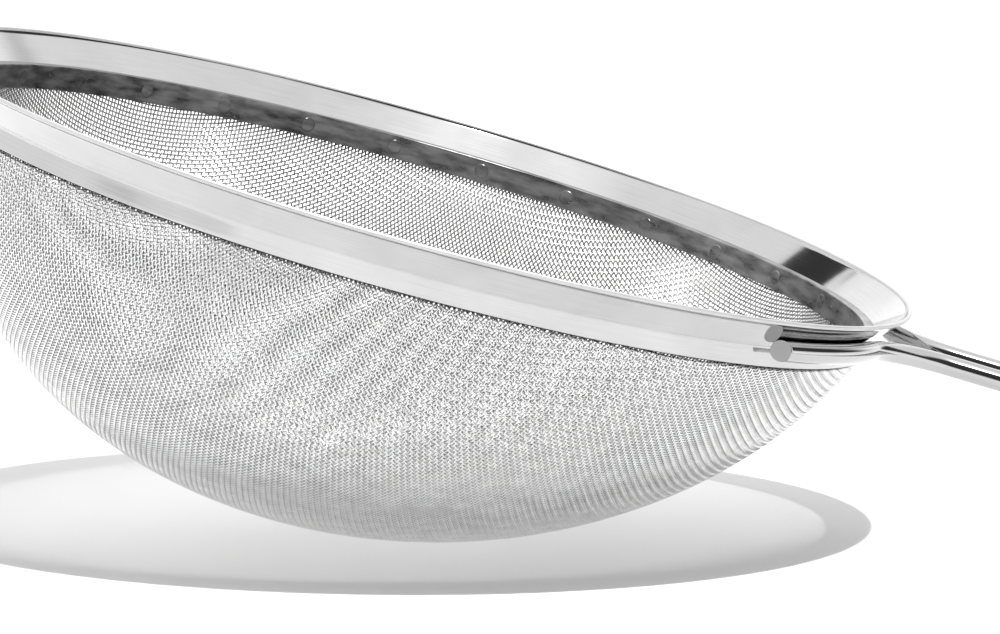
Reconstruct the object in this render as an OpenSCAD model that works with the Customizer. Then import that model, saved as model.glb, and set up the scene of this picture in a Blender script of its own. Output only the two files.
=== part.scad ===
// Handled bowl sieve of woven wire: a deep fine-mesh bowl clamped between two steel hoops,
// with a hairpin rod handle on one side and a short rod rest on the other.
// It stands as it does on a table, leaning on its bowl and on the end of its handle.
// The sieve is drawn level, with the rim's middle at the origin and the handle along +X,
// and module standing() leans it and sets it down on the table at z = 0.

/* [Rim] */
// Outer radius of the rim
rim_r = 100; // [90:1:112]
// Width of the sloping lip, seen from above
lip_w = 5.95; // [5.5:0.05:8]
// Slope of the lip, up from level
lip_angle = 46.5; // [42:0.5:52]
// Thickness of the rim's sheet
rim_t = 0.5; // [0.4:0.05:0.6]
// Radius of the rounded edge of the lip
edge_r = 0.45; // [0.35:0.05:0.6]
// Height of the upright band below the lip
band_h = 3.65; // [3.2:0.05:5]

/* [Inner hoop] */
// Thickness of the inner hoop's sheet
hoop_t = 0.4; // [0.3:0.05:0.5]
// How far the inner hoop reaches below the band
hoop_drop = 0.5; // [0.2:0.05:0.8]
// How far the crease of the lip lies below the top of the inner hoop
crease_drop = 0.85; // [0.8:0.05:1]
// Number of spot welds round the inner hoop
spot_count = 30; // [12:1:40]
// Radius of a spot weld
spot_r = 1.5; // [1:0.1:1.6]
// How far a spot weld stands proud
spot_h = 0.15; // [0.1:0.01:0.25]

/* [Cloth] */
// Diameter of the cloth's wire
wire_d = 0.4; // [0.3:0.05:0.5]
// Distance between the wires that are drawn, six times that of the real cloth
wire_step = 6.6; // [5:0.1:9]
// Turn of the weave against the handle
cloth_turn = 45; // [0:5:45]
// Height of the bowl's curve as a share of its radius
bowl_flat = 0.845; // [0.8:0.005:0.88]
// Height of the middle of the bowl's curve above the top of the inner hoop
bowl_centre = 13.6; // [11:0.1:15]
// How far the bowl's deepest point lies away from the handle, as a share of its radius
bowl_lean = 0.13; // [0:0.005:0.15]

/* [Rods] */
// Diameter of the handle's and the rest's rod
rod_d = 4; // [3.5:0.1:4.5]
// Height of the rod's middle against the top of the inner hoop
rod_z = -0.5; // [-0.8:0.1:0]
// Radius of the bends where the handle leaves the rim
handle_bend = 16; // [12:1:20]
// Radius of the bends where the rest leaves the rim
rest_bend = 8; // [6:0.5:9]
// How far each rod's welded end lies round the rim, from the middle of the handle
weld_angle = 33.5; // [28:0.5:40]
// Slant of the cut ends of the rods, off square
cut_angle = 22; // [0:1:30]
// Clear gap between the handle's two rods
handle_gap = 10.4; // [9:0.1:16]
// Clear gap between the rest's two rods
rest_gap = 29; // [24:1:34]
// How far the rest reaches past the lip
rest_reach = 15; // [14:0.5:20]
// Radius of the rest's two corners
rest_corner = 6; // [5:0.5:7]

/* [Standing] */
// How steeply the sieve leans when it stands, which also sets the handle's length
stand_tilt = 15.7; // [14:0.1:19]

/* [Hidden] */
$fn = 180;
round_fn = 48;

// Clearance between pieces that lie against each other
seat = 0.05;
// How much the hem ring of each layer is thicker than its wires
hem_margin = 0.03;
// How far the hem stays above the band's lower edge
hem_inset = 0.1;
// How far the end of each wire reaches up into the hem
wire_grip = 0.5;
// Share of the cloth's radius within which its wires lie
wire_spread = 0.97;

// The rim's profile, from its crease
band_r = rim_r - lip_w;
band_in = band_r - rim_t;
band_z = -crease_drop - band_h;
lip_run = lip_w - edge_r + rim_t / 2 * sin(lip_angle);
edge_z = -crease_drop + rim_t / 2 * cos(lip_angle) + lip_run * tan(lip_angle);
corner_z = -crease_drop + rim_t * (1 - sin(lip_angle)) / cos(lip_angle);

// Half the side of a square section of the round wire's area
wire_half = wire_d * sqrt(PI) / 4;

// The two layers of the cloth, side by side in the hem
hem_t = wire_d + hem_margin;
hem_z = band_z + hem_inset;
hem_top = -hoop_t - seat;
layer_off = (hem_t + seat) / 2;
cloth_r = band_in - seat - hem_t - seat / 2;
centre_rise = (bowl_centre - hem_z) / bowl_flat;
bowl_r = norm([cloth_r, centre_rise]);

// The inner hoop's outside clears the bowl's wires down to its lower edge
hoop_z = band_z - hoop_drop;
hoop_fall = (hem_z - hoop_z) / bowl_flat;
hoop_out = sqrt(pow(bowl_r, 2) - pow(centre_rise + hoop_fall, 2)) - layer_off - wire_d / 2
    - bowl_lean * hoop_fall - seat;
hoop_in = hoop_out - hoop_t;

// A bend is a hair thinner than the straight runs, which reach a little way into it
rod_r = rod_d / 2;
bend_slack = 0.02;
bend_r = rod_r - bend_slack;
lap = 0.3;
// How many degrees a welded run is drawn past its slanted cut
cut_spare = 4;

// The rods lie against the underside of the lip
rod_ring = band_r + (rod_r + seat + (rod_z + crease_drop) * cos(lip_angle)) / sin(lip_angle);
handle_half = handle_gap / 2 + rod_r;
rest_half = rest_gap / 2 + rod_r;

// Angle round the rim at which a leg that ends at half the loop's width leaves it
function leave_angle(half, bend) = asin((half + bend) / (rod_ring + bend));

// The weld bead fills the corner between the band and a rod, below the rod's middle. It starts
// a degree past the bend and stops two short of the cut
bead_drop = 0.8;
bead_start = 1;
bead_stop = 2;
bead_run = rod_ring - band_r - seat;
bead_r = (pow(bead_run, 2) - pow(rod_r + seat, 2) + pow(bead_drop, 2))
    / (2 * (bead_run + rod_r + seat));

// Height of the bowl's lowest point once the sieve leans
lean_up = bowl_flat * cos(stand_tilt) - bowl_lean * sin(stand_tilt);
low_z = cos(stand_tilt) * bowl_centre - sin(stand_tilt) * bowl_lean * centre_rise
    - bowl_r * norm([sin(stand_tilt), lean_up]) - layer_off - wire_half;

// The handle's end bend touches the table, level with the bowl's lowest point
handle_x = (rod_z * cos(stand_tilt) - rod_r - low_z) / sin(stand_tilt) - handle_half;
rest_x = rim_r + rest_reach - rod_r - rest_corner;
box_max = (handle_x + handle_half) * cos(stand_tilt) + rod_z * sin(stand_tilt) + rod_r;
box_min = -(rest_x + rest_corner) * cos(stand_tilt) + rod_z * sin(stand_tilt) - rod_r;

// Leans the level sieve toward its handle and sets it on the table, with its box centred
module standing() {
    translate([-(box_max + box_min) / 2, 0, -low_z])
        rotate([0, stand_tilt, 0])
            children();
}

// The outer hoop: an upright band, a crease and a sloping lip with a rounded edge
module rim_hoop() {
    edge = [rim_r - edge_r, edge_z];
    face = rim_t / 2 * [sin(lip_angle), -cos(lip_angle)];
    color("silver")
        standing()
            rotate_extrude() {
                polygon([
                    [band_in, band_z],
                    [band_r, band_z],
                    [band_r, -crease_drop],
                    edge + face,
                    edge - face,
                    [band_in, corner_z],
                ]);
                translate(edge)
                    circle(r = edge_r, $fn = round_fn);
            }
}

// The inner hoop: a thin band inside the cloth, with a flange turned out onto the lip
module inner_hoop() {
    slope = cos(lip_angle) / sin(lip_angle);
    flange_top = band_in - corner_z * slope - seat / sin(lip_angle);
    color("gainsboro")
        standing()
            rotate_extrude()
                polygon([
                    [hoop_in, hoop_z],
                    [hoop_out, hoop_z],
                    [hoop_out, -hoop_t],
                    [flange_top - hoop_t * slope, -hoop_t],
                    [flange_top, 0],
                    [hoop_in, 0],
                ]);
}

// One layer of the bowl: a wire every wire_step, laid on the bowl's middle surface and moved
// off it to the layer's own side, and the ring in the hem that holds the wires' ends
module cloth_layer(off, turn) {
    count = floor(wire_spread * cloth_r / wire_step);
    rotate_extrude()
        translate([cloth_r + off - hem_t / 2, hem_z])
            square([hem_t, hem_top - hem_z]);
    for (i = [-count:count])
        wire(wire_route(i * wire_step), off, turn);
}

// The route of one wire, seen from above: straight across the bowl, with a point wherever it
// crosses a wire of the other layer, from hem to hem
function wire_route(side) =
    let (
        reach = sqrt(pow(cloth_r, 2) - pow(side, 2)),
        steps = floor((reach - wire_d) / wire_step)
    )
    concat([[side, -reach]], [for (i = [-steps:steps]) [side, i * wire_step]], [[side, reach]]);

// A point of the wire's plan, turned with its layer
function turned(p, turn) = [
    p.x * cos(turn) - p.y * sin(turn),
    p.x * sin(turn) + p.y * cos(turn),
];

// The point of a sphere's lower half below a point of the plan, and where it comes to lie when
// the sphere is flattened and leaned into the bowl
function sphere_point(p) = [p.x, p.y, -sqrt(pow(bowl_r, 2) - pow(p.x, 2) - pow(p.y, 2))];
function bowl_point(s) = [
    s.x + bowl_lean * (s.z + centre_rise),
    s.y,
    hem_z + bowl_flat * (s.z + centre_rise),
];

// The bowl's outward direction where a point of the sphere comes to lie
function bowl_normal(s) =
    let (n = [s.x, s.y, (s.z - bowl_lean * s.x) / bowl_flat])
    n / norm(n);

// One wire: a square section of the round wire's area, swept along its route, with its two
// ends turned up into the hem
module wire(route, off, turn) {
    places = [for (p = route) sphere_point(turned(p, turn))];
    formed = [for (s = places) bowl_point(s) + off * bowl_normal(s)];
    grip = [0, 0, wire_grip];
    last = len(route) + 1;
    middles = concat([formed[0] + grip], formed, [formed[last - 2] + grip]);
    points = [
        for (i = [0:last])
            let (
                along = middles[min(i + 1, last)] - middles[max(i - 1, 0)],
                across = cross(along, bowl_normal(places[min(max(i - 1, 0), last - 2)])),
                b = across / norm(across) * wire_half,
                n = cross(across, along) / norm(cross(across, along)) * wire_half
            )
            each [
                middles[i] + n + b,
                middles[i] + n - b,
                middles[i] - n - b,
                middles[i] - n + b,
            ]
    ];
    sides = [
        for (i = [0:last - 1], k = [0:3])
            let (
                p = 4 * i + k,
                q = 4 * i + (k + 1) % 4
            )
            each [[p, q, q + 4], [p, q + 4, p + 4]]
    ];
    polyhedron(points, concat([[3, 2, 1, 0]], sides, [[for (k = [0:3]) 4 * last + k]]));
}

module cloth_warp() {
    color("darkgray")
        standing()
            cloth_layer(layer_off, cloth_turn);
}

module cloth_weft() {
    color("lightgray")
        standing()
            cloth_layer(-layer_off, cloth_turn + 90);
}

// A rod bent into a loop: two legs, and an end that joins them past the lip
module rod_loop(half, bend, end_x, corner) {
    translate([0, 0, rod_z]) {
        for (side = [0, 1])
            mirror([0, side, 0])
                rod_leg(half, bend, end_x);
        translate([end_x, 0, 0])
            rod_end(half, corner);
    }
}

// One leg: a slant-cut end welded under the lip, a bend outward and a straight run
module rod_leg(half, bend, end_x) {
    leave = leave_angle(half, bend);
    leave_x = (rod_ring + bend) * cos(leave);
    first = leave - asin(lap / rod_ring);
    block = 4 * rod_d;
    difference() {
        rotate([0, 0, first])
            rotate_extrude(angle = weld_angle + cut_spare - first)
                rod_section(rod_ring, rod_r);
        rotate([0, 0, weld_angle])
            translate([rod_ring, 0, 0])
                rotate([0, 0, -cut_angle])
                    translate([-block / 2, 0, -block / 2])
                        cube(block);
    }
    translate([leave_x, half + bend, 0])
        rotate([0, 0, 180 + leave])
            rotate_extrude(angle = 90 - leave)
                rod_section(bend, bend_r);
    translate([leave_x - lap, half, 0])
        rotate([0, 90, 0])
            cylinder(h = end_x - leave_x + 2 * lap, r = rod_r, $fn = round_fn);
}

// The end of a loop: one half circle, or two corners with a straight bar between them
module rod_end(half, corner) {
    if (half == corner)
        rotate([0, 0, -90])
            rotate_extrude(angle = 180)
                rod_section(half, bend_r);
    else {
        for (side = [0, 1])
            mirror([0, side, 0])
                translate([0, half - corner, 0])
                    rotate_extrude(angle = 90)
                        rod_section(corner, bend_r);
        translate([corner, corner - half - lap, 0])
            rotate([-90, 0, 0])
                cylinder(h = 2 * (half - corner + lap), r = rod_r, $fn = round_fn);
    }
}

module rod_section(bend, r) {
    translate([bend, 0])
        circle(r = r, $fn = round_fn);
}

// The handle: one hairpin of rod, whose gap is also the loop to hang it by
module handle_rod() {
    color("silver")
        standing()
            rod_loop(handle_half, handle_bend, handle_x, handle_half);
}

// The rest: a short loop that lies on the edge of a pan or bowl
module front_rest() {
    color("silver")
        standing()
            rotate([0, 0, 180])
                rod_loop(rest_half, rest_bend, rest_x, rest_corner);
}

// A bead of weld along one welded end
module weld_bead(half, bend, side, turn) {
    leave = leave_angle(half, bend);
    color("darkgray")
        standing()
            rotate([0, 0, turn])
                mirror([0, side, 0])
                    rotate([0, 0, leave + bead_start])
                        rotate_extrude(angle = weld_angle - bead_stop - leave - bead_start)
                            translate([band_r + seat + bead_r, rod_z - bead_drop])
                                circle(r = bead_r, $fn = round_fn);
}

module handle_weld_near() {
    weld_bead(handle_half, handle_bend, 1, 0);
}

module handle_weld_far() {
    weld_bead(handle_half, handle_bend, 0, 0);
}

module rest_weld_near() {
    weld_bead(rest_half, rest_bend, 0, 180);
}

module rest_weld_far() {
    weld_bead(rest_half, rest_bend, 1, 180);
}

// The marks of the spot welds that clamp the hoops and the hem, on the inner hoop's inside
module spot_welds() {
    color("darkgray")
        standing()
            for (i = [0:spot_count - 1])
                rotate([0, 0, (i + 0.5) * 360 / spot_count])
                    translate([hoop_in - seat, 0, hoop_z / 2])
                        rotate([0, -90, 0])
                            cylinder(h = spot_h, r = spot_r, $fn = round_fn);
}

rim_hoop();
inner_hoop();
cloth_warp();
cloth_weft();
handle_rod();
front_rest();
handle_weld_near();
handle_weld_far();
rest_weld_near();
rest_weld_far();
spot_welds();
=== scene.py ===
"""Looks of a handled bowl sieve: polished steel hoops, a bowl of woven wire, bent rods and their
welds, standing tilted on a pale table. Lengths are in metres and angles in radians."""
import math

import bpy
import numpy as np
from mathutils import Matrix, Vector


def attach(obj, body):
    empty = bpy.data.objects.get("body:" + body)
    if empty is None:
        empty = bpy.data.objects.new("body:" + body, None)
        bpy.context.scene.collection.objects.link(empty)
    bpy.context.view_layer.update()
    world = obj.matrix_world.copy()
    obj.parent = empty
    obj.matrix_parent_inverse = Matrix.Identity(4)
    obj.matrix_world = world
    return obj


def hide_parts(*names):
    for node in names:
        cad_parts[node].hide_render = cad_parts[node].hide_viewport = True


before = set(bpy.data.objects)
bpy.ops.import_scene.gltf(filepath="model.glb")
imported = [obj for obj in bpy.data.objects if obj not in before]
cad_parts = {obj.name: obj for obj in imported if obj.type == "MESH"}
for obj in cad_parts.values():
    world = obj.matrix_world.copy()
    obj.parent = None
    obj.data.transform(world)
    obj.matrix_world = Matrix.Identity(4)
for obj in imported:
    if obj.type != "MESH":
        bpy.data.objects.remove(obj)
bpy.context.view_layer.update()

MM = 0.001

# The sieve's driving sizes, as in its construction
RIM_R = 100 * MM
LIP_W = 5.95 * MM
LIP_ANGLE = math.radians(46.5)
RIM_T = 0.5 * MM
EDGE_R = 0.45 * MM
BAND_H = 3.65 * MM
HOOP_T = 0.4 * MM
HOOP_DROP = 0.5 * MM
CREASE_DROP = 0.85 * MM
SPOT_COUNT = 30
SPOT_R = 1.5 * MM
LAYER_D = 0.4 * MM
CLOTH_TURN = math.radians(45)
BOWL_FLAT = 0.845
BOWL_CENTRE = 13.6 * MM
BOWL_LEAN = 0.13
ROD_R = 2 * MM
ROD_Z = -0.5 * MM
HANDLE_BEND = 16 * MM
REST_BEND = 8 * MM
WELD_ANGLE = math.radians(33.5)
CUT_ANGLE = math.radians(22)
HANDLE_HALF = 5.2 * MM + ROD_R
REST_HALF = 14.5 * MM + ROD_R
REST_REACH = 15 * MM
REST_CORNER = 6 * MM
STAND_TILT = math.radians(15.7)
SEAT = 0.05 * MM
HEM_MARGIN = 0.03 * MM
HEM_INSET = 0.1 * MM
BEAD_DROP = 0.8 * MM
BEAD_START = math.radians(1)
BEAD_STOP = math.radians(2)

# The real cloth, whose wires are closer together and thinner than those of the construction
PITCH = 0.886 * MM
WIRE_D = 0.34 * MM
WEAVE_RISE = 0.5 * WIRE_D

# Roundings of the sheets' corners
SHEARED_R = 0.12 * MM
CREASE_R = 0.7 * MM
FOLD_R = 0.3 * MM
FLANGE_R = 0.08 * MM
HEM_R = 0.1 * MM

# How much a weld bead swells and thins, as a share of its radius, and how far that wave turns from
# one point of the bead to the next
BEAD_SWELL = 0.06
BEAD_RATE = 1.3

# A spot weld's mark: its height, where it is highest as a share of its radius, the height halfway
# and the swing about it as shares of the whole, and how far its brink and its back are off the hoop
SPOT_RISE = 0.015 * MM
SPOT_CREST = 0.75
SPOT_MIDDLE = 0.55
SPOT_SWING = 0.45
SPOT_FRONT = 0.5 * SEAT
SPOT_BACK = 0.4 * SEAT

# Fineness of the meshes
FACE_STEP = 0.8 * MM
ARC_STEP = 0.5 * MM
RIM_TURNS = 720
HEM_TURNS = 360
LIP_EDGE_POINTS = 19
LEG_POINTS = 24
END_BAR_POINTS = 6
ROD_SIDES = 28
BEAD_POINTS = 90
BEAD_SIDES = 16
WIRE_SIDES = 6
SPOT_RINGS = 7
SPOT_SIDES = 24
CURVE_POINTS = 4001
LEAST_CROSSINGS = 4
MOST_TRIANGLES = 190000

# Derived sizes, by the construction's own rules
BAND_R = RIM_R - LIP_W
BAND_IN = BAND_R - RIM_T
BAND_Z = -CREASE_DROP - BAND_H
LIP_RUN = LIP_W - EDGE_R + RIM_T / 2 * math.sin(LIP_ANGLE)
EDGE_Z = -CREASE_DROP + RIM_T / 2 * math.cos(LIP_ANGLE) + LIP_RUN * math.tan(LIP_ANGLE)
CORNER_Z = -CREASE_DROP + RIM_T * (1 - math.sin(LIP_ANGLE)) / math.cos(LIP_ANGLE)
HEM_T = LAYER_D + HEM_MARGIN
HEM_Z = BAND_Z + HEM_INSET
HEM_TOP = -HOOP_T - SEAT
LAYER_OFF = (HEM_T + SEAT) / 2
CLOTH_R = BAND_IN - SEAT - HEM_T - SEAT / 2
CENTRE_RISE = (BOWL_CENTRE - HEM_Z) / BOWL_FLAT
BOWL_R = math.hypot(CLOTH_R, CENTRE_RISE)
HOOP_Z = BAND_Z - HOOP_DROP
HOOP_FALL = (HEM_Z - HOOP_Z) / BOWL_FLAT
HOOP_OUT = (math.sqrt(BOWL_R ** 2 - (CENTRE_RISE + HOOP_FALL) ** 2) - LAYER_OFF - LAYER_D / 2
            - BOWL_LEAN * HOOP_FALL - SEAT)
HOOP_IN = HOOP_OUT - HOOP_T
ROD_RING = BAND_R + (ROD_R + SEAT + (ROD_Z + CREASE_DROP) * math.cos(LIP_ANGLE)) / math.sin(LIP_ANGLE)
WIRE_HALF = LAYER_D * math.sqrt(math.pi) / 4
LEAN_UP = BOWL_FLAT * math.cos(STAND_TILT) - BOWL_LEAN * math.sin(STAND_TILT)
LOW_Z = (math.cos(STAND_TILT) * BOWL_CENTRE - math.sin(STAND_TILT) * BOWL_LEAN * CENTRE_RISE
         - BOWL_R * math.hypot(math.sin(STAND_TILT), LEAN_UP) - LAYER_OFF - WIRE_HALF)
HANDLE_X = (ROD_Z * math.cos(STAND_TILT) - ROD_R - LOW_Z) / math.sin(STAND_TILT) - HANDLE_HALF
REST_X = RIM_R + REST_REACH - ROD_R - REST_CORNER

# Where the cloth's wires are cut, just inside the hem, and how far its net reaches: above which
# height it stops, and how many crossings are ample for half the longest wire
CUT_Z = HEM_Z + 0.05 * MM
NET_Z = HEM_Z + 0.9 * MM
NET_COUNT = int(1.45 * BOWL_R / PITCH)

# The bowl's form: the lower half of a sphere, flattened and leaned, as a mapping of points
FORM = np.array([[1, 0, BOWL_LEAN], [0, 1, 0], [0, 0, BOWL_FLAT]])
FORM_BACK = np.linalg.inv(FORM)
FORM_AT = np.array([BOWL_LEAN * CENTRE_RISE, 0, HEM_Z + BOWL_FLAT * CENTRE_RISE])

# Turns a level path end for end about the rim's axis
HALF_TURN = np.array([-1, -1, 1])

# How far the sheets and rods swell and dip, a few times in the width of a hand
WAVE = 0.10 * MM

# The heights over which the cloth's painted shade below the band's edge comes in, how much a face of
# the cloth looks outward while its tone goes from the inside's painted shade to the outside's, and
# the stretch toward the handle over which the inner hoop grows paler
PAINTED_HEM_SHADE_EDGE = (HEM_Z - 1.3 * MM, HEM_Z - 0.6 * MM)
FACING_EDGE = (-20 * MM, 30 * MM)
PALE_EDGE = (-140 * MM, 20 * MM)

# The room as the metal sees it: strengths, and directions as across, depth and height
DARK = 0.06
WALL_WHITE = 1.3
CEILING_WHITE = 1.62
BACKDROP_WHITE = 1.5
OVERHEAD = (0.13, -0.17, 0.977)
OVERHEAD_EDGE = (0.93, 0.99)
BACKDROP_EDGE = (0.62, 0.7)
OPENING = (-0.445, 0.57, 0.69)
OPENING_HALF = math.radians(7.5)
OPENING_SOFT = 0.01
OPENING_RAGGED = 0.03

# Two dark walls, each a stretch of directions between soft limits
NEAR_WALL_DEPTH = (0.3, 0.6)
NEAR_WALL_FOOT = (0.06, 0.16)
NEAR_WALL_TOP = (0.8, 0.93)
RIGHT_WALL_ACROSS = (0.45, 0.65)
RIGHT_WALL_FOOT = (0.03, 0.1)
RIGHT_WALL_TOP = (0.35, 0.45)

# The lamp, the table and the camera
LAMP_FROM = (0.2, -0.385, 1)
LAMP_STRENGTH = 3.6
LAMP_SPREAD = math.radians(1.2)
TABLE_PALE = 0.76
TABLE_HALF = 4.0
CAMERA_AT = (0.11873, -1.05850, 0.16364)
CAMERA_BEARING = math.radians(-8.66)
CAMERA_PITCH = math.radians(-6.393)
CAMERA_LENS = 198.0
CAMERA_FRAME = 36.0
CAMERA_REACH = 20.0


def place_on_table():
    """The matrix that leans the level sieve toward its handle and sets it on the table, with the
    middle of its length over the origin."""
    cos, sin = math.cos(STAND_TILT), math.sin(STAND_TILT)
    reach_max = (HANDLE_X + HANDLE_HALF) * cos + ROD_Z * sin + ROD_R
    reach_min = -(REST_X + REST_CORNER) * cos + ROD_Z * sin - ROD_R
    shift = Matrix.Translation((-(reach_max + reach_min) / 2, 0, -LOW_Z))
    return shift @ Matrix.Rotation(STAND_TILT, 4, "Y")


STANDING = place_on_table()


def stood(points):
    """Level points, as an array of rows, moved to where they stand on the table."""
    m = np.array(STANDING)
    return points @ m[:3, :3].T + m[:3, 3]


def unit(vectors):
    """Rows of vectors, each divided by its own length."""
    return vectors / np.linalg.norm(vectors, axis=-1, keepdims=True)


def lengths_along(points):
    """The length of the path through rows of points, from its start to each of them."""
    steps = np.linalg.norm(np.diff(points, axis=0), axis=1)
    return np.concatenate([[0], np.cumsum(steps)])


def mesh_piece(name, points, quads, caps=(), uv=None):
    """A smooth mesh from rows of level points, rows of four corners, and a few many-sided caps.
    uv holds one pair for each corner of each quad and then of each cap."""
    corners = np.concatenate([quads.ravel(), *caps])
    totals = np.concatenate([np.full(len(quads), 4), [len(c) for c in caps]]).astype(np.int32)
    starts = np.concatenate([[0], np.cumsum(totals)[:-1]]).astype(np.int32)
    mesh = bpy.data.meshes.new(name)
    mesh.vertices.add(len(points))
    mesh.vertices.foreach_set("co", stood(points).astype(np.float32).ravel())
    mesh.loops.add(len(corners))
    mesh.loops.foreach_set("vertex_index", corners.astype(np.int32))
    mesh.polygons.add(len(totals))
    mesh.polygons.foreach_set("loop_start", starts)
    mesh.polygons.foreach_set("use_smooth", np.ones(len(totals), bool))
    if uv is not None:
        layer = mesh.uv_layers.new(name="Along")
        layer.data.foreach_set("uv", uv.astype(np.float32).ravel())
    mesh.update(calc_edges=True)
    mesh.validate()
    piece = bpy.data.objects.new(name, mesh)
    bpy.context.scene.collection.objects.link(piece)
    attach(piece, "root")
    return piece


def ring_quads(rings, sides, closed=False):
    """The corners of the faces between neighbouring rings of points, numbered ring by ring: face
    i, k joins points k and k + 1 of ring i to those of ring i + 1. Where it is closed, the last
    ring meets the first."""
    i, k = np.meshgrid(np.arange(rings if closed else rings - 1), np.arange(sides), indexing="ij")
    i2, k2 = (i + 1) % rings, (k + 1) % sides
    quads = np.stack([i * sides + k, i2 * sides + k, i2 * sides + k2, i * sides + k2], axis=-1)
    return quads.reshape(-1, 4)


def end_caps(rings, sides):
    """The corners of the two flat faces that shut a run of rings."""
    return [np.arange(sides), (rings - 1) * sides + np.arange(sides)[::-1]]


def gather(runs):
    """Several runs of rings, each shut at both ends, as the points, quads and caps of one mesh.
    Its faces look into the solid: a render shades them like faces that look out, while a bake
    takes the way they look."""
    points, quads, caps, base = [], [], [], 0
    for run in runs:
        rings, sides = run.shape[:2]
        points.append(run.reshape(-1, 3))
        quads.append(ring_quads(rings, sides) + base)
        caps += [cap + base for cap in end_caps(rings, sides)]
        base += rings * sides
    return np.concatenate(points), np.concatenate(quads), caps


def sharpen_rings(mesh, sides, rings=None):
    """Marks the edges round each ring as sharp, or round the rings numbered only: a straight run
    between two sharp rings is shaded as a straight round bar."""
    ends = np.empty(len(mesh.edges) * 2, np.int32)
    mesh.edges.foreach_get("vertices", ends)
    ends = ends.reshape(-1, 2) // sides
    sharp = ends[:, 0] == ends[:, 1]
    if rings is not None:
        sharp &= np.isin(ends[:, 0], rings)
    mesh.edges.foreach_set("use_edge_sharp", sharp)


def rounded(corners, radii, steps=6):
    """A closed outline with its corners rounded: each corner gives an arc that is tangent to its
    two sides, of the radius given for it, or the bare corner where that is 0."""
    corners = np.array(corners, float)
    out = []
    for i, (p, r) in enumerate(zip(corners, radii)):
        if r == 0:
            out.append(p)
            continue
        a = unit(corners[i - 1] - p)
        b = unit(corners[(i + 1) % len(corners)] - p)
        half = math.acos(np.clip(a @ b, -1, 1)) / 2
        centre = p + unit(a + b) * r / math.sin(half)
        first, last = p + a * r / math.tan(half), p + b * r / math.tan(half)
        start = math.atan2(*(first - centre)[::-1])
        sweep = math.atan2(*(last - centre)[::-1]) - start
        sweep = (sweep + math.pi) % (2 * math.pi) - math.pi
        for k in range(steps + 1):
            t = start + sweep * k / steps
            out.append(centre + r * np.array([math.cos(t), math.sin(t)]))
    return np.array(out)


def fill_out(outline, spacing):
    """The closed outline with points added, so that no side is longer than the spacing."""
    out = []
    for p, q in zip(outline, np.roll(outline, -1, axis=0)):
        n = max(1, int(np.ceil(np.linalg.norm(q - p) / spacing)))
        out.extend(p + (q - p) * k / n for k in range(n))
    return np.array(out)


def revolve(name, outline, turns):
    """A closed outline of radius and height, counter-clockwise, carried round the rim's axis.
    Its uv runs along the hoop in metres and round the outline in metres."""
    n = len(outline)
    angle = np.linspace(0, 2 * np.pi, turns, endpoint=False)
    rings = np.stack([
        np.cos(angle)[:, None] * outline[:, 0],
        np.sin(angle)[:, None] * outline[:, 0],
        np.broadcast_to(outline[:, 1], (turns, n)),
    ], axis=-1)
    i, k = np.meshgrid(np.arange(turns), np.arange(n), indexing="ij")
    length = lengths_along(np.concatenate([outline, outline[:1]]))
    u = np.stack([i, i + 1, i + 1, i], axis=-1) * (2 * np.pi / turns) * RIM_R
    v = np.stack([length[k], length[k], length[k + 1], length[k + 1]], axis=-1)
    uv = np.stack([u, v], axis=-1).reshape(-1, 2)
    return mesh_piece(name, rings.reshape(-1, 3), ring_quads(turns, n, closed=True), uv=uv)


def tube(name, centres, radius, sides, end_normals=(None, None)):
    """A round tube along a path in one level plane. The path's own side direction and the
    vertical carry each ring. These turn the other way than the rings of a revolved outline, so
    each face's corners are taken in the other order. An end normal slants that end: the last
    ring is slid along the tube until it lies in the plane across that normal. The uv runs along
    the tube and round it."""
    along = unit(np.gradient(centres, axis=0))
    up = np.array([0.0, 0.0, 1.0])
    side = unit(np.cross(up, along))
    t = np.linspace(0, 2 * np.pi, sides, endpoint=False)
    radius = np.broadcast_to(radius, len(centres))
    rings = centres[:, None] + radius[:, None, None] * (
        np.cos(t)[:, None] * side[:, None] + np.sin(t)[:, None] * up)
    for end, normal in zip((0, -1), end_normals):
        if normal is not None:
            off = (centres[end] - rings[end]) @ normal
            rings[end] += (off / (along[end] @ normal))[:, None] * along[end]
    m = len(centres)
    quads = ring_quads(m, sides)[:, [0, 3, 2, 1]]
    caps = [cap[::-1] for cap in end_caps(m, sides)]
    i, k = np.meshgrid(np.arange(m - 1), np.arange(sides), indexing="ij")
    length = lengths_along(centres)
    round_step = 2 * math.pi * radius.mean() / sides
    u = np.stack([length[i], length[i], length[i + 1], length[i + 1]], axis=-1)
    v = np.stack([k, k + 1, k + 1, k], axis=-1) * round_step
    disc = np.stack([np.cos(t), np.sin(t)], axis=-1)
    uv = np.concatenate([np.stack([u, v], axis=-1).reshape(-1, 2),
                         disc[::-1] * radius[0], disc * radius[-1]])
    piece = mesh_piece(name, rings.reshape(-1, 3), quads, caps, uv)
    sharpen_rings(piece.data, sides, (0, m - 1))
    return piece


def arc(centre, radius, start, stop):
    """Points on an arc at the rods' height about a centre, a small step apart, without its end."""
    n = max(8, int(abs(stop - start) * radius / ARC_STEP))
    t = np.linspace(start, stop, n, endpoint=False)
    return np.stack([centre[0] + radius * np.cos(t), centre[1] + radius * np.sin(t),
                     np.full(n, ROD_Z)], axis=-1)


def bowl_normal(points):
    """The outward direction of the level bowl at points on it: that of the sphere, mapped."""
    sphere = (points - FORM_AT) @ FORM_BACK.T
    return unit(sphere @ FORM_BACK)


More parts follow.
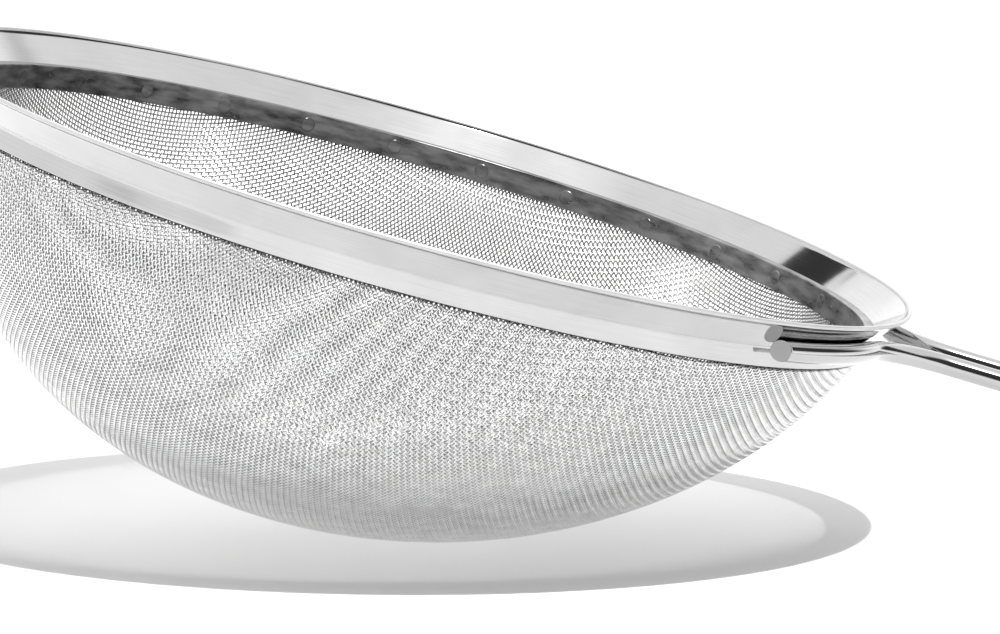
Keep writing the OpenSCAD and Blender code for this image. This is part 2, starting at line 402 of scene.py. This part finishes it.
def meridian(direction):
    """Points a pitch apart from the bowl's deepest point along the plane in a direction, by
    measuring the length of the curve and reading it off at even steps."""
    t = np.linspace(0, math.pi / 2, CURVE_POINTS)
    sphere = BOWL_R * np.stack([np.sin(t) * math.cos(direction), np.sin(t) * math.sin(direction),
                                -np.cos(t)], axis=-1)
    curve = sphere @ FORM.T + FORM_AT
    length = lengths_along(curve)
    at = np.arange(NET_COUNT + 1) * PITCH
    return np.stack([np.interp(at, length, curve[:, k], right=np.nan) for k in range(3)], axis=-1)


def drape(direction, rounds=5):
    """One quarter of the cloth as it drapes: a net of equal sides on the bowl. Its first two
    wires lie on upright planes at right angles. Every further crossing lies one pitch from the
    two crossings before it, and is found for a whole diagonal of the net at a time by a few
    rounds of Newton's method on the two lengths and on the bowl's surface."""
    count = NET_COUNT
    net = np.full((count + 1, count + 1, 3), np.nan)
    net[:, 0] = meridian(direction)
    net[0, :] = meridian(direction + math.pi / 2)
    for d in range(2, 2 * count + 1):
        i = np.arange(max(1, d - count), min(count, d - 1) + 1)
        j = d - i
        a, b, c = net[i - 1, j], net[i, j - 1], net[i - 1, j - 1]
        good = (a[:, 2] < NET_Z) & (b[:, 2] < NET_Z)
        if not good.any():
            continue
        i, j, a, b, c = i[good], j[good], a[good], b[good], c[good]
        p = a + b - c
        for _ in range(rounds):
            sphere = (p - FORM_AT) @ FORM_BACK.T
            miss = np.stack([
                ((p - a) ** 2).sum(1) - PITCH ** 2,
                ((p - b) ** 2).sum(1) - PITCH ** 2,
                (sphere ** 2).sum(1) - BOWL_R ** 2,
            ], axis=-1)
            slope = np.stack([2 * (p - a), 2 * (p - b), 2 * sphere @ FORM_BACK], axis=1)
            p = p - np.linalg.solve(slope, miss[..., None])[..., 0]
        net[i, j] = p
    return net


def cloth_net():
    """The whole net of crossings: four draped quarters joined along the two first wires."""
    mid = NET_COUNT
    net = np.full((2 * mid + 1, 2 * mid + 1, 3), np.nan)
    quarters = [drape(CLOTH_TURN + k * math.pi / 2) for k in range(4)]
    net[mid:, mid:] = quarters[0]
    net[mid::-1, mid:] = np.swapaxes(quarters[1], 0, 1)
    net[mid::-1, mid::-1] = quarters[2]
    net[mid:, mid::-1] = np.swapaxes(quarters[3], 0, 1)
    return net


def cut_wires(net):
    """The net with its wires, which run along its first side, cut at one height: the first
    crossing above the cut slides back along its wire to the cut, and those beyond are dropped."""
    line = net.copy()
    height = net[..., 2]
    below = height < CUT_Z
    for step, brink in ((1, 0), (-1, -1)):
        near = np.roll(net, step, axis=0)
        inner = np.roll(below, step, axis=0)
        inner[brink] = False
        ends = ~below & inner & np.isfinite(height)
        share = (CUT_Z - near[ends, 2]) / (height[ends] - near[ends, 2])
        line[ends] = near[ends] + share[:, None] * (net[ends] - near[ends])
        line[ends, 2] = CUT_Z
    line[line[..., 2] > CUT_Z] = np.nan
    return line


def wire_rings(middles, off):
    """The rings of points round one wire: its crossings stand off the bowl's surface along its
    normal, and each ring lies across the wire."""
    normal = bowl_normal(middles)
    centres = middles + normal * off[:, None]
    along = np.gradient(centres, axis=0)
    across = unit(np.cross(along, normal))
    out = unit(np.cross(across, along))
    t = np.linspace(0, 2 * np.pi, WIRE_SIDES, endpoint=False)
    return centres[:, None] + WIRE_D / 2 * (
        np.cos(t)[:, None] * out[:, None] + np.sin(t)[:, None] * across[:, None])


def woven_wires(name, net, side):
    """One family of the cloth's wires as round bars that go over and under the others: side is
    1 or -1 for the family that starts outside or inside. A wire has a ring of points at each
    crossing and runs straight between them, and one with too few crossings is left out. The
    family is split into pieces of a size that the export keeps whole."""
    line = cut_wires(net)
    rows, cols = line.shape[:2]
    over = np.where((np.arange(rows)[:, None] + np.arange(cols)) % 2, -side, side)
    batches, triangles = [[]], 0
    for c in range(cols):
        kept = np.flatnonzero(np.isfinite(line[:, c, 2]))
        if len(kept) < LEAST_CROSSINGS:
            continue
        if triangles > MOST_TRIANGLES:
            batches.append([])
            triangles = 0
        batches[-1].append(wire_rings(line[kept, c], over[kept, c] * WEAVE_RISE))
        triangles += len(kept) * WIRE_SIDES * 2
    pieces = []
    for number, batch in enumerate(batches, 1):
        piece = mesh_piece(f"{name}_{number}", *gather(batch))
        sharpen_rings(piece.data, WIRE_SIDES)
        pieces.append(piece)
    return pieces


class Value:
    """A value in a node tree: an output socket that takes the usual operators."""

    def __init__(self, shade, socket):
        self.shade, self.socket = shade, socket

    def maths(self, operation, first, second):
        """A Math node on two values."""
        return self.shade.node("ShaderNodeMath", {0: first, 1: second}, operation=operation)

    def __add__(self, other):
        return self.maths("ADD", self, other)

    def __sub__(self, other):
        return self.maths("SUBTRACT", self, other)

    def __rsub__(self, other):
        return self.maths("SUBTRACT", other, self)

    def __mul__(self, other):
        return self.maths("MULTIPLY", self, other)

    __radd__ = __add__
    __rmul__ = __mul__


class Shade:
    """A node tree under construction."""

    def __init__(self, tree):
        self.tree = tree

    def node(self, kind, inputs=None, output=0, **settings):
        """Adds a node of a type, with its settings, and its sockets' values or links."""
        made = self.tree.nodes.new(kind)
        for key, value in settings.items():
            setattr(made, key, value)
        for key, value in (inputs or {}).items():
            self.put(made.inputs[key], value)
        return Value(self, made.outputs[output])

    def put(self, socket, value):
        """Links a value to a socket, or sets the socket to a number, a vector or a colour."""
        if isinstance(value, Value):
            self.tree.links.new(value.socket, socket)
        else:
            socket.default_value = value

    def parts(self, vector):
        """The three parts of a vector: across, depth and height."""
        made = self.node("ShaderNodeSeparateXYZ", {0: vector}).socket.node
        return [Value(self, output) for output in made.outputs]

    def place(self):
        """The place of a point in the piece's own coordinates."""
        return self.node("ShaderNodeTexCoord", output="Object")

    def noise(self, vector, scale, detail):
        """Soft random patches, 0 to 1, whose size is one by the scale."""
        return self.node("ShaderNodeTexNoise",
                         {"Vector": vector, "Scale": scale, "Detail": detail})

    def drawn_noise(self, along, across, detail):
        """Patches drawn out along the piece: their counts in a metre along it and across it."""
        uv = self.node("ShaderNodeUVMap", uv_map="Along")
        drawn = self.node("ShaderNodeMapping", {"Vector": uv, "Scale": (along, across, 1)})
        return self.noise(drawn, 1.0, detail)

    def ramp(self, factor, low, high):
        """A grey that goes from one to another: low and high are pairs of a factor and a grey."""
        made = self.node("ShaderNodeValToRGB", {0: factor})
        for element, (at, grey) in zip(made.socket.node.color_ramp.elements, (low, high)):
            element.position = at
            element.color = (grey, grey, grey, 1)
        return made

    def smooth(self, value, low, high):
        """0 below the low value, 1 above the high one, and an even curve between."""
        return self.node("ShaderNodeMapRange", {"Value": value, "From Min": low, "From Max": high},
                         interpolation_type="SMOOTHSTEP")

    def mix(self, factor, first, second):
        """The first value where the factor is 0, the second where it is 1."""
        return first + factor * (second - first)

    def bump(self, height):
        """Turns a height in metres into a normal."""
        return self.node("ShaderNodeBump", {"Height": height, "Distance": 1.0, "Strength": 1.0})

    def surface(self, **sockets):
        """Sets or links the shader's sockets, named in words with underscores for spaces."""
        shader = self.tree.nodes["Principled BSDF"]
        for key, value in sockets.items():
            self.put(shader.inputs[key.replace("_", " ")], value)


def new_material(name):
    """A new material, and the shade of its node tree."""
    material = bpy.data.materials.new(name)
    material.use_nodes = True
    return material, Shade(material.node_tree)


def steel(name, tone, roughness, streak):
    """Drawn or rolled steel: fine lines along the piece's own length, faint clouds of tone, a
    little change of gloss, and slow waves in its surface. streak is the lines' weight in the
    gloss."""
    material, s = new_material(name)
    line_depth = 0.001 * MM
    fine = s.drawn_noise(along=60, across=9000, detail=3)
    cloud = s.noise(s.place(), scale=90, detail=2)
    wave = s.noise(s.place(), scale=55, detail=1)
    s.surface(
        Base_Color=s.ramp(fine * 0.6 + cloud * 0.4, (0.35, tone * 0.88), (0.65, tone * 1.04)),
        Metallic=1.0,
        Roughness=roughness + streak * (fine - 0.5) + 0.05 * (cloud - 0.5),
        Normal=s.bump(fine * line_depth + wave * WAVE))
    return material


def wire_steel():
    """Bright drawn wire, with a slight change from place to place. Just below the band's edge it is
    painted dark, a painted shade of the band over the wires' ends, and its faces toward the inside of
    the bowl are painted darker, a painted shade of the bowl's inside. The height over the rim's own
    level is the part of the place along the stood rim's axis, and a face is inside where it looks
    toward the middle of the bowl's curve."""
    material, s = new_material("wire_steel")
    place = s.place()
    cloud = s.noise(place, scale=300, detail=2)
    across, _, height = s.parts(place)
    axis = STANDING.to_3x3().col[2]
    level = across * axis.x + height * axis.z - STANDING.translation.dot(axis)
    # Painted shade: the wires just below the band's edge are painted dark, as if the band shaded them
    painted_hem_shade = s.smooth(level, *PAINTED_HEM_SHADE_EDGE)
    middle = Vector(stood(FORM_AT))
    from_middle = s.node("ShaderNodeVectorMath", {0: place, 1: middle}, operation="SUBTRACT")
    normal = s.node("ShaderNodeNewGeometry", output="Normal")
    facing = s.node("ShaderNodeVectorMath", {0: from_middle, 1: normal}, output="Value",
                    operation="DOT_PRODUCT")
    outside = s.smooth(facing, *FACING_EDGE)
    # Painted shade: faces toward the bowl's inside take a darker tone than the faces outside
    painted_inner_shade = s.ramp(cloud, (0.3, 0.30), (0.7, 0.42))
    outer_tone = s.ramp(cloud, (0.3, 0.70), (0.7, 0.84))
    bright = s.mix(outside, painted_inner_shade, outer_tone)
    s.surface(Base_Color=s.mix(painted_hem_shade, bright, 0.1), Metallic=1.0, Roughness=0.25)
    return material


def hoop_steel():
    """The inner hoop's thin sheet: dull and dark, partly a painted shade for the dark things it
    reflects and partly a heat stain from its spot welds, in blotches drawn out along it, and darker
    the farther from the handle."""
    material, s = new_material("hoop_steel")
    line_depth = 0.003 * MM
    fine = s.drawn_noise(along=80, across=3000, detail=3)
    blotch = s.drawn_noise(along=150, across=500, detail=4)
    across, _, _ = s.parts(s.place())
    toward_handle = s.smooth(across, *PALE_EDGE)
    # Painted shade: these dark tones stand partly for the dark things the hoop reflects, partly for
    # heat stain
    far_tone = s.ramp(blotch, (0.35, 0.05), (0.65, 0.2))
    near_tone = s.ramp(blotch, (0.35, 0.16), (0.65, 0.4))
    s.surface(Base_Color=s.mix(toward_handle, far_tone, near_tone), Metallic=1.0,
              Roughness=0.3 + 0.2 * (blotch - 0.5), Normal=s.bump(fine * line_depth))
    return material


def weld_steel():
    """Cleaned weld: rougher and a little darker than the sheet."""
    material, s = new_material("weld_steel")
    grain_depth = 0.05 * MM
    grain = s.noise(s.place(), scale=1500, detail=3)
    s.surface(Base_Color=s.ramp(grain, (0.3, 0.42), (0.7, 0.6)), Metallic=1.0,
              Roughness=0.35 + 0.2 * grain, Normal=s.bump(grain * grain_depth))
    return material


def sawn_steel():
    """The rods' cut ends: plain and matt."""
    material, s = new_material("sawn_steel")
    s.surface(Base_Color=(0.42, 0.42, 0.42, 1), Metallic=1.0, Roughness=0.5)
    return material


RIM_STEEL = steel("rim_steel", tone=0.515, roughness=0.08, streak=0.06)
EDGE_STEEL = steel("edge_steel", tone=0.62, roughness=0.55, streak=0.06)
ROD_STEEL = steel("rod_steel", tone=0.46, roughness=0.10, streak=0.04)
HOOP_STEEL = hoop_steel()
WIRE_STEEL = wire_steel()
WELD_STEEL = weld_steel()
SAWN_STEEL = sawn_steel()


def dress(piece, materials, node):
    """Gives a piece its materials and hides the imported part of the node it stands for."""
    for material in materials:
        piece.data.materials.append(material)
    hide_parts(node)


def rim():
    """The outer hoop: band, crease and lip in one sheet. The lip ends in a round edge thicker
    than the sheet, whose faces take the piece's second material."""
    side = np.array([math.cos(LIP_ANGLE), math.sin(LIP_ANGLE)])
    out = np.array([side[1], -side[0]])
    edge = np.array([RIM_R - EDGE_R, EDGE_Z])
    swell = math.sqrt(EDGE_R ** 2 - (RIM_T / 2) ** 2)
    first = out * RIM_T / 2 - side * swell
    last = -out * RIM_T / 2 - side * swell
    start = math.atan2(first[1], first[0])
    turn = 2 * (math.pi - math.atan2(RIM_T / 2, swell))
    t = start + np.linspace(0, turn, LIP_EDGE_POINTS)
    bead = edge + EDGE_R * np.stack([np.cos(t), np.sin(t)], axis=-1)[1:-1]
    corners = [(BAND_IN, BAND_Z), (BAND_R, BAND_Z), (BAND_R, -CREASE_DROP), edge + first]
    corners += [*bead, edge + last, (BAND_IN, CORNER_Z)]
    radii = [SHEARED_R, SHEARED_R, CREASE_R, 0] + [0] * len(bead) + [0, FOLD_R]
    outline = fill_out(rounded(corners, radii), FACE_STEP)
    piece = revolve("rim_hoop_sheet", outline, RIM_TURNS)
    on_edge = np.linalg.norm(outline - edge, axis=1) < 1.02 * EDGE_R
    on_edge &= np.roll(on_edge, -1)
    index = np.tile(on_edge, RIM_TURNS).astype(np.int32)
    piece.data.polygons.foreach_set("material_index", index)
    return piece


def inner_hoop():
    """The inner hoop: a thin band whose top turns out onto the lip."""
    slope = math.cos(LIP_ANGLE) / math.sin(LIP_ANGLE)
    flange = BAND_IN - CORNER_Z * slope - SEAT / math.sin(LIP_ANGLE)
    corners = [(HOOP_IN, HOOP_Z), (HOOP_OUT, HOOP_Z), (HOOP_OUT, -HOOP_T),
               (flange - HOOP_T * slope, -HOOP_T), (flange, 0), (HOOP_IN, 0)]
    radii = [SHEARED_R, SHEARED_R, 0, 0, FLANGE_R, FOLD_R]
    return revolve("inner_hoop_sheet", fill_out(rounded(corners, radii), FACE_STEP), RIM_TURNS)


def hem_ring(name, middle):
    """One ring of the cloth's clamped edge, which the hoops hide: an upright strip, revolved."""
    low, high = middle - HEM_T / 2, middle + HEM_T / 2
    corners = [(low, HEM_Z), (high, HEM_Z), (high, HEM_TOP), (low, HEM_TOP)]
    return revolve(name, rounded(corners, [HEM_R] * 4, steps=3), HEM_TURNS)


def leave_angle(half, bend):
    """Angle round the rim at which a leg leaves it for its bend."""
    return math.asin((half + bend) / (ROD_RING + bend))


def rod_loop(name, half, bend, end_x, corner, turned=False):
    """A rod bent into a loop: welded arc, bend, straight leg and end, and the same mirrored.
    The cut ends are slanted, and matt as the second material is."""
    leave = leave_angle(half, bend)
    leave_x = (ROD_RING + bend) * math.cos(leave)
    leg = np.linspace((leave_x, half, ROD_Z), (end_x, half, ROD_Z), LEG_POINTS, endpoint=False)
    bar = np.linspace((end_x + corner, half - corner, ROD_Z), (end_x + corner, 0, ROD_Z),
                      END_BAR_POINTS if half > corner else 1)
    near = np.concatenate([
        arc((0, 0), ROD_RING, WELD_ANGLE, leave),
        arc((leave_x, half + bend), bend, math.pi + leave, 1.5 * math.pi),
        leg,
        arc((end_x, half - corner), corner, math.pi / 2, 0),
        bar,
    ])
    path = np.concatenate([near, near[-2::-1] * [1, -1, 1]])
    a = WELD_ANGLE - CUT_ANGLE
    ends = np.array([[-math.sin(a), math.cos(a), 0], [-math.sin(a), -math.cos(a), 0]])
    if turned:
        path, ends = path * HALF_TURN, ends * HALF_TURN
    piece = tube(name, path, ROD_R, ROD_SIDES, ends)
    for face in piece.data.polygons[-2:]:
        face.material_index = 1
    return piece


def weld_bead(name, half, bend, side, turned):
    """A bead of weld in the corner between band and rod, swelling and thinning as it goes. Its
    radius is that of the circle, dropped below the rod's middle, that is a seat's gap off both."""
    run = ROD_RING - BAND_R - SEAT
    radius = (run ** 2 - (ROD_R + SEAT) ** 2 + BEAD_DROP ** 2) / (2 * (run + ROD_R + SEAT))
    t = np.linspace(leave_angle(half, bend) + BEAD_START, WELD_ANGLE - BEAD_STOP, BEAD_POINTS)
    ring = BAND_R + SEAT + radius
    path = np.stack([ring * np.cos(t), side * ring * np.sin(t),
                     np.full(BEAD_POINTS, ROD_Z - BEAD_DROP)], axis=-1)
    if turned:
        path = path * HALF_TURN
    swell = 1 + BEAD_SWELL * (np.sin(np.arange(BEAD_POINTS) * BEAD_RATE) - 1)
    return tube(name, path, radius * swell, BEAD_SIDES)


def spot_marks():
    """The spot welds on the inner hoop's inside: faint round dimples with a raised edge. Each is
    a small disc, whose height is a cosine of the distance from its middle. Its last two rings
    are its brink and the same brink set back toward the hoop."""
    r = np.linspace(0, 1, SPOT_RINGS)[1:, None]
    rise = SPOT_MIDDLE + SPOT_SWING * np.cos((r - SPOT_CREST) * 2 * math.pi)
    rise[-1] = 0.0
    t = np.linspace(0, 2 * np.pi, SPOT_SIDES, endpoint=False)
    y = SPOT_R * r * np.cos(t)
    z = SPOT_R * r * np.sin(t) + HOOP_Z / 2
    wall = np.sqrt((HOOP_IN - SPOT_FRONT - SPOT_RISE * rise) ** 2 - y ** 2)
    back = np.sqrt((HOOP_IN - SPOT_BACK) ** 2 - y[-1:] ** 2)
    x, y, z = np.concatenate([wall, back]), np.concatenate([y, y[-1:]]), np.concatenate([z, z[-1:]])
    discs, spread = [], []
    for n in range(SPOT_COUNT):
        a = (n + 0.5) * 2 * math.pi / SPOT_COUNT
        cos, sin = math.cos(a), math.sin(a)
        discs.append(np.stack([x * cos - y * sin, x * sin + y * cos, z], axis=-1))
        spread.append(np.stack([a * RIM_R + y, z], axis=-1).reshape(-1, 2))
    points, quads, caps = gather(discs)
    uv = np.concatenate(spread)[np.concatenate([quads.ravel(), *caps])]
    return mesh_piece("spot_weld_marks", points, quads, caps, uv)


def sieve():
    """All the sieve's pieces, each dressed and put for its node."""
    dress(rim(), [RIM_STEEL, EDGE_STEEL], "rim_hoop")
    dress(inner_hoop(), [HOOP_STEEL], "inner_hoop")
    dress(hem_ring("hem_outer", CLOTH_R + LAYER_OFF), [WIRE_STEEL], "cloth_warp")
    dress(hem_ring("hem_inner", CLOTH_R - LAYER_OFF), [WIRE_STEEL], "cloth_weft")
    warp = cloth_net()
    weft = np.swapaxes(warp, 0, 1)
    for wires in woven_wires("warp_wires", warp, 1):
        dress(wires, [WIRE_STEEL], "cloth_warp")
    for wires in woven_wires("weft_wires", weft, -1):
        dress(wires, [WIRE_STEEL], "cloth_weft")
    rods = [ROD_STEEL, SAWN_STEEL]
    handle = rod_loop("handle_hairpin", HANDLE_HALF, HANDLE_BEND, HANDLE_X, HANDLE_HALF)
    dress(handle, rods, "handle_rod")
    # The photograph shows no shadow of the handle on the table
    handle.visible_shadow = False
    rest = rod_loop("rest_loop", REST_HALF, REST_BEND, REST_X, REST_CORNER, turned=True)
    dress(rest, rods, "front_rest")
    for node, half, bend, side, turned in (
            ("handle_weld_near", HANDLE_HALF, HANDLE_BEND, -1, False),
            ("handle_weld_far", HANDLE_HALF, HANDLE_BEND, 1, False),
            ("rest_weld_near", REST_HALF, REST_BEND, 1, True),
            ("rest_weld_far", REST_HALF, REST_BEND, -1, True)):
        bead = weld_bead(node + "_bead", half, bend, side, turned)
        dress(bead, [WELD_STEEL], node)
    dress(spot_marks(), [HOOP_STEEL], "spot_welds")


def table():
    """The pale table: a wide flat sheet that takes the sieve's shadow."""
    material, s = new_material("table_white")
    s.surface(Base_Color=(TABLE_PALE, TABLE_PALE, TABLE_PALE, 1), Roughness=0.9,
              Specular_IOR_Level=0.0)
    half = TABLE_HALF
    mesh = bpy.data.meshes.new("table_top")
    mesh.from_pydata([(-half, -half, 0), (half, -half, 0), (half, half, 0), (-half, half, 0)], [],
                     [(0, 1, 2, 3)])
    mesh.materials.append(material)
    sheet = bpy.data.objects.new("table_top", mesh)
    bpy.context.scene.collection.objects.link(sheet)


def key_light():
    """A lamp so far off that its rays run side by side."""
    data = bpy.data.lights.new("key_light", "SUN")
    data.energy = LAMP_STRENGTH
    data.angle = LAMP_SPREAD
    key = bpy.data.objects.new("key_light", data)
    key.rotation_euler = Vector(LAMP_FROM).to_track_quat("Z", "Y").to_euler()
    bpy.context.scene.collection.objects.link(key)


def room():
    """The surroundings: white to the camera. To the metal, pale walls with a brighter patch
    overhead and a brighter backdrop, two dark walls, on the camera's side and low on the right,
    and one dark opening behind and above, whose border is ragged."""
    world = bpy.data.worlds.new("room")
    world.use_nodes = True
    s = Shade(world.node_tree)
    way = s.node("ShaderNodeTexCoord", output="Generated")
    across, depth, height = s.parts(way)

    def toward(direction):
        """The cosine between the way and a direction."""
        return across * direction[0] + depth * direction[1] + height * direction[2]

    ragged = OPENING_RAGGED * (s.noise(way, scale=14, detail=2) - 0.5)
    opening = s.smooth(toward(OPENING) + ragged, math.cos(OPENING_HALF + OPENING_SOFT),
                       math.cos(OPENING_HALF - OPENING_SOFT))
    near_wall = (s.smooth(depth * -1.0, *NEAR_WALL_DEPTH) * s.smooth(height, *NEAR_WALL_FOOT)
                 * (1 - s.smooth(height, *NEAR_WALL_TOP)))
    right_wall = (s.smooth(across, *RIGHT_WALL_ACROSS) * s.smooth(height, *RIGHT_WALL_FOOT)
                  * (1 - s.smooth(height, *RIGHT_WALL_TOP)))
    pale = (WALL_WHITE
            + (CEILING_WHITE - WALL_WHITE) * s.smooth(toward(OVERHEAD), *OVERHEAD_EDGE)
            + (BACKDROP_WHITE - WALL_WHITE) * s.smooth(depth, *BACKDROP_EDGE))
    light = DARK + (pale - DARK) * (1 - opening) * (1 - near_wall) * (1 - right_wall)
    shown = s.mix(s.node("ShaderNodeLightPath", output="Is Camera Ray"), light, 1.0)
    grey = s.node("ShaderNodeCombineColor", {"Red": shown, "Green": shown, "Blue": shown})
    s.put(s.tree.nodes["Background"].inputs["Color"], grey)
    bpy.context.scene.world = world


def camera():
    """The photograph's view: from the near side, a little from the handle's end and above."""
    aim = Vector((math.sin(CAMERA_BEARING) * math.cos(CAMERA_PITCH),
                  math.cos(CAMERA_BEARING) * math.cos(CAMERA_PITCH), math.sin(CAMERA_PITCH)))
    data = bpy.data.cameras.new("photo_view")
    data.lens = CAMERA_LENS
    data.sensor_width = CAMERA_FRAME
    data.clip_end = CAMERA_REACH
    view = bpy.data.objects.new("photo_view", data)
    view.location = CAMERA_AT
    view.rotation_euler = aim.to_track_quat("-Z", "Y").to_euler()
    bpy.context.scene.collection.objects.link(view)
    bpy.context.scene.camera = view


sieve()
table()
room()
key_light()
camera()
bpy.context.scene.view_settings.view_transform = "Standard"
